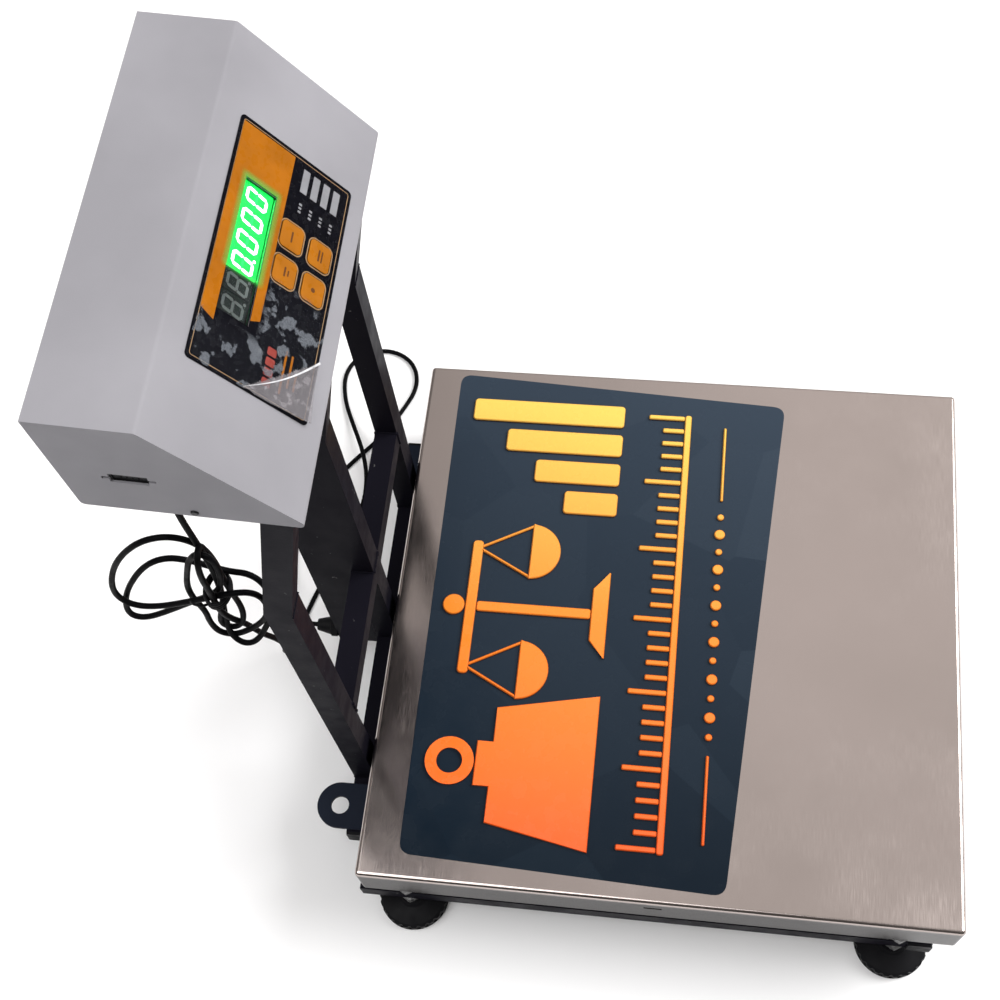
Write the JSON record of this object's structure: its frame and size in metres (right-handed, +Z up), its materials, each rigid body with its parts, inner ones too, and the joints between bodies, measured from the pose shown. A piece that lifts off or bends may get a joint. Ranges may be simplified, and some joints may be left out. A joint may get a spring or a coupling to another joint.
{
  "type": "bench platform weighing scale",
  "caption": "Low bench platform scale: square stainless deck on a load cell and steel base with levelling feet, and a wedge-shaped indicator on a bent back stand, with its cable.",
  "frame": {"origin": "centre of the deck's top face, where the load goes", "axes": "+X to the user's right, +Y from the user towards the back stand, +Z up"},
  "size_m": [0.488, 0.514, 0.5593],
  "materials": {
    "stainless": "satin, slightly mirror-like",
    "slate_paint": "satin enamel",
    "lug_paint": "satin enamel",
    "zinc": "bright zinc plate",
    "aluminium": "milled",
    "buffer_rubber": "matte",
    "black_plastic": "moulded",
    "box_paint": "fine textured powder coat",
    "overlay": "gloss membrane film",
    "key_film": "gloss membrane film",
    "window": "smoked clear film",
    "led_body": "satin",
    "circuit_board": "solder resist",
    "brass_post": "turned",
    "switch_plastic": "moulded",
    "transformer_steel": "varnished laminations",
    "battery_case": "moulded",
    "connector": "plated shell",
    "cable": "smooth PVC jacket"
  },
  "bodies": {
    "base": {"base_back_cross": "slate_paint", "base_cross_member": "slate_paint", "base_front_rail": "slate_paint", "base_gland": "black_plastic", "base_rear_rail": "slate_paint", "base_side_left": "slate_paint", "base_side_right": "slate_paint", "battery": "battery_case", "board_standoffs": "brass_post", "cable_drop": "cable", "cable_hank": "cable", "cable_tail": "cable", "cell_bolts": "zinc", "cell_lead": "cable", "cell_spacer_lower": "aluminium", "cell_spacer_upper": "aluminium", "cover_screws": "zinc", "deck_buffers": "buffer_rubber", "display_board": "circuit_board", "display_window": "window", "foot_nuts": "zinc", "indicator_back": "box_paint", "indicator_cover": "box_paint", "indicator_gland": "black_plastic", "key_switches": "switch_plastic", "led_module": "led_body", "load_cell": "aluminium", "lug_left": "lug_paint", "lug_right": "lug_paint", "main_board": "circuit_board", "overlay_panel": "overlay", "overload_stops": "zinc", "post_crossbar": "slate_paint", "post_left": "slate_paint", "post_middle": "slate_paint", "post_middle_lower": "slate_paint", "post_right": "slate_paint", "rail_end_plugs": "black_plastic", "rear_stay": "slate_paint", "serial_port": "connector", "spider_bar_left": "slate_paint", "spider_bar_right": "slate_paint", "spider_beam": "slate_paint", "stand_bolts": "zinc", "stand_nut_plates": "zinc", "transformer": "transformer_steel"},
    "deck": {"deck_plate": "stainless"},
    "stud_front_left": {"foot_stud_front_left": "zinc"},
    "pad_front_left": {"foot_pad_front_left": "black_plastic"},
    "stud_front_right": {"foot_stud_front_right": "zinc"},
    "pad_front_right": {"foot_pad_front_right": "black_plastic"},
    "stud_back_left": {"foot_stud_back_left": "zinc"},
    "pad_back_left": {"foot_pad_back_left": "black_plastic"},
    "stud_back_right": {"foot_stud_back_right": "zinc"},
    "pad_back_right": {"foot_pad_back_right": "black_plastic"},
    "key_1": {"key_1": "key_film"},
    "key_2": {"key_2": "key_film"},
    "key_3": {"key_3": "key_film"},
    "key_4": {"key_4": "key_film"}
  },
  "joints": [
    {"name": "deck_lift", "type": "slide", "parent": "base", "child": "deck", "axis": [0, 0, 1], "range_m": [0, 0.08]},
    {"name": "foot_height_front_left", "type": "slide", "parent": "base", "child": "stud_front_left", "axis": [0, 0, 1], "range_m": [-0.00602, 0.00602]},
    {"name": "foot_turn_front_left", "type": "hinge", "parent": "stud_front_left", "child": "pad_front_left", "pos_m": [-0.189, -0.166, -0.1], "axis": [0, 0, 1], "range_deg": [-1440, 1440]},
    {"name": "foot_height_front_right", "type": "slide", "parent": "base", "child": "stud_front_right", "axis": [0, 0, 1], "range_m": [-0.00602, 0.00602]},
    {"name": "foot_turn_front_right", "type": "hinge", "parent": "stud_front_right", "child": "pad_front_right", "pos_m": [0.189, -0.166, -0.1], "axis": [0, 0, 1], "range_deg": [-1440, 1440]},
    {"name": "foot_height_back_left", "type": "slide", "parent": "base", "child": "stud_back_left", "axis": [0, 0, 1], "range_m": [-0.00602, 0.00602]},
    {"name": "foot_turn_back_left", "type": "hinge", "parent": "stud_back_left", "child": "pad_back_left", "pos_m": [-0.189, 0.172, -0.1], "axis": [0, 0, 1], "range_deg": [-1440, 1440]},
    {"name": "foot_height_back_right", "type": "slide", "parent": "base", "child": "stud_back_right", "axis": [0, 0, 1], "range_m": [-0.00602, 0.00602]},
    {"name": "foot_turn_back_right", "type": "hinge", "parent": "stud_back_right", "child": "pad_back_right", "pos_m": [0.189, 0.172, -0.1], "axis": [0, 0, 1], "range_deg": [-1440, 1440]},
    {"name": "key_press_1", "type": "slide", "parent": "base", "child": "key_1", "axis": [0, 0.8038, -0.5949], "range_m": [0, 0.0004], "stiffness_N_per_m": 600},
    {"name": "key_press_2", "type": "slide", "parent": "base", "child": "key_2", "axis": [0, 0.8038, -0.5949], "range_m": [0, 0.0004], "stiffness_N_per_m": 600},
    {"name": "key_press_3", "type": "slide", "parent": "base", "child": "key_3", "axis": [0, 0.8038, -0.5949], "range_m": [0, 0.0004], "stiffness_N_per_m": 600},
    {"name": "key_press_4", "type": "slide", "parent": "base", "child": "key_4", "axis": [0, 0.8038, -0.5949], "range_m": [0, 0.0004], "stiffness_N_per_m": 600}
  ],
  "couplings": [
    {"joint": "foot_height_front_left", "follows": "foot_turn_front_left", "m_per_rad": 0.00023873},
    {"joint": "foot_height_front_right", "follows": "foot_turn_front_right", "m_per_rad": 0.00023873},
    {"joint": "foot_height_back_left", "follows": "foot_turn_back_left", "m_per_rad": 0.00023873},
    {"joint": "foot_height_back_right", "follows": "foot_turn_back_right", "m_per_rad": 0.00023873}
  ]
}
